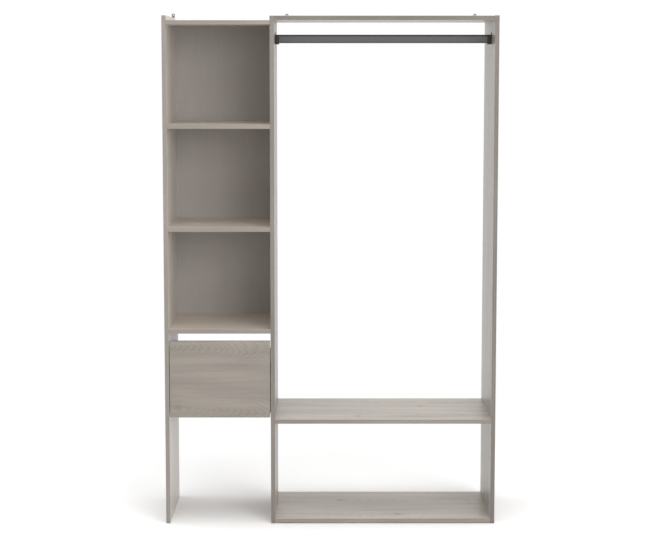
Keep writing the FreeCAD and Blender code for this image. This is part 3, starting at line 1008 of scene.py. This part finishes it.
screw_set("cup_screws", "rail_support_screws", towards_middle("middle_panel", "right_side_panel"))
screw_set("plate_screws", "wall_bracket_screws", lambda place: upward)
screw_set("runner_fixings", "runner_screws", towards_middle("runner_left", "runner_right"))
screw_set("drawer_back_screws", "drawer_screws",
          towards_middle("drawer_side_left", "drawer_side_right", sign=-1.0))

# %% [markdown]
# ## Nails
# Small nails hold the thin back. A flat disc would do for their heads from afar, but a dome catches the
# light as a real nail does. It is given as shares of the head's radius and height, and that height is
# what stands proud of the sheet in the construction model.

# %% Nails
dome_shares = ((0.0, 0.0), (0.55, 0.12), (0.9, 0.5), (1.0, 1.0))
nail_shank_share = 0.4
nail_point_share = 0.85
rearward = Vector((0, 1.0, 0))
nail_boxes = solids_of("back_panel_nails")
nail_low, nail_high = nail_boxes[0]
nail_radius = (nail_high - nail_low).x / 2
nail_long = (nail_high - nail_low).y
head_high = nail_high.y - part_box("tower_back_panel")[1].y

dome = [(nail_radius * wide, -head_high * down) for wide, down in dome_shares]
shank = nail_radius * nail_shank_share
nail_profile = dome + [(shank, -head_high), (shank, -nail_long * nail_point_share), (0.0, -nail_long)]
nail = turned(nail_profile, nail_sides)
bmesh.ops.recalc_face_normals(nail, faces=nail.faces)
nail_seats = [((low + high) / 2 + rearward * (high - low).y / 2, rearward) for low, high in nail_boxes]
keep_piece("back_nails", set_copies(nail, nail_seats), "back_panel_nails")

# %% [markdown]
# ## White floor
# The wardrobe stands on a white floor that fades into white. More light would bleach the boards, so the
# floor is given its whiteness only for what the camera, a reflection or a clear material sees. It still
# takes the shadow, because its glow is added to plain white paint that the lamps light. The glow stands
# for the white room, so it fades where the wardrobe stands close above.

# %% Floor
floor_half = 16.0
floor_glow = 0.36
floor_reach = 0.5
shade_samples = 16
floor_paint = (0.85, 0.85, 0.85, 1.0)
pure_white = (1.0, 1.0, 1.0, 1.0)
white_from = 0.9
white_past = 1.9


def seen_directly(start):
    """1 for camera, reflected and transmitted rays, 0 for the light that falls on other surfaces."""
    camera_ray = start.node("LightPath", {}, {}, "Is Camera Ray")
    reflected = start.math("MAXIMUM", camera_ray, camera_ray.other("Is Glossy Ray"))
    return start.math("MAXIMUM", reflected, camera_ray.other("Is Transmission Ray"))


def white_floor():
    material, start = new_finish("white_floor_paint")
    material.node_tree.nodes.remove(material.node_tree.nodes["Principled BSDF"])
    paint = start.node("BsdfDiffuse", {}, {"Color": floor_paint})
    shown_paint = start.node("BsdfDiffuse", {}, {"Color": pure_white})
    glow = start.node("Emission", {}, {"Color": pure_white, "Strength": floor_glow})
    glowing = start.node("AddShader", {}, {0: shown_paint, 1: glow})
    open_above = start.node("AmbientOcclusion", {"samples": shade_samples}, {"Distance": floor_reach}, "AO")
    shaded = start.node("MixShader", {}, {0: open_above, 1: shown_paint, 2: glowing})
    axis = parts_of(place_on(start, origin))
    distance = (axis["X"] * axis["X"] + axis["Y"] * axis["Y"]) ** 0.5
    far_away = distance.fade(white_from, white_past)
    plain_white = start.node("Emission", {}, {"Color": pure_white, "Strength": 1.0})
    fading = start.node("MixShader", {}, {0: far_away, 1: shaded, 2: plain_white})
    shown = start.node("MixShader", {}, {0: seen_directly(start), 1: paint, 2: fading})
    start.fill(material.node_tree.nodes["Material Output"], {"Surface": shown})
    return material


floor_shape = bmesh.new()
bmesh.ops.create_grid(floor_shape, x_segments=1, y_segments=1, size=floor_half)
floor_mesh = bpy.data.meshes.new("studio_floor")
floor_shape.to_mesh(floor_mesh)
floor_shape.free()
floor_mesh.materials.append(white_floor())
floor = bpy.data.objects.new("studio_floor", floor_mesh)
bpy.context.scene.collection.objects.link(floor)
print("floor", floor_half * 2, "m wide")

# %% [markdown]
# ## White surround
# The world is white in the same way. It could light the wardrobe by itself, but from all sides alike. So
# it is full white for the camera and for reflections and gives the surfaces only a dim light, and the
# lamps shape them.

# %% World
ambient_light = 0.2

world = bpy.data.worlds.new("white_studio")
world.use_nodes = True
bpy.context.scene.world = world
sky = Value(world.node_tree)
dim = sky.node("Background", {}, {"Color": pure_white, "Strength": ambient_light})
white = sky.node("Background", {}, {"Color": pure_white, "Strength": 1.0})
surround = sky.node("MixShader", {}, {0: seen_directly(sky), 1: dim, 2: white})
sky.fill(world.node_tree.nodes["World Output"], {"Surface": surround})
print("ambient light", ambient_light)

# %% [markdown]
# ## Studio lamps
# The photograph has soft light from above and from the right, which leaves the niches darker towards
# their right corners. Large square lamps give such soft edges. Each one is aimed at the wardrobe's
# middle. Only the fill in front gives a highlight, which the rail shows. The images of the other lamps in
# the smooth boards would outshine the white around them.

# %% Lamps
lamp_aim = Vector((0.0, 0.0, 0.9))
# The place of each lamp, the side of its square and its power in watts
lamps = {
    "key_front_right": ((2.45, -5.4, 2.25), 3.0, 130.0),
    "fill_front": ((0.0, -6.0, 2.2), 2.6, 25.0),
    "top_front": ((0.0, -2.4, 4.2), 3.0, 46.0),
    "overhead": ((0.0, 0.0, 4.4), 3.0, 48.0),
    "side_right": ((4.0, -0.6, 1.6), 3.0, 38.0),
    "side_left": ((-4.0, 0.5, 1.3), 2.6, 56.0),
    "behind": ((0.0, 3.6, 0.7), 3.0, 22.0),
}
for name, (place, side, watts) in lamps.items():
    lamp_data = bpy.data.lights.new(name, "AREA")
    lamp_data.shape = "SQUARE"
    lamp_data.size = side
    lamp_data.energy = watts
    lamp = bpy.data.objects.new(name, lamp_data)
    lamp.location = place
    lamp.visible_camera = False
    lamp.visible_glossy = name == "fill_front"
    lamp.rotation_euler = (lamp_aim - Vector(place)).to_track_quat("-Z", "Y").to_euler()
    bpy.context.scene.collection.objects.link(lamp)
print("lamps:", ", ".join(lamps))
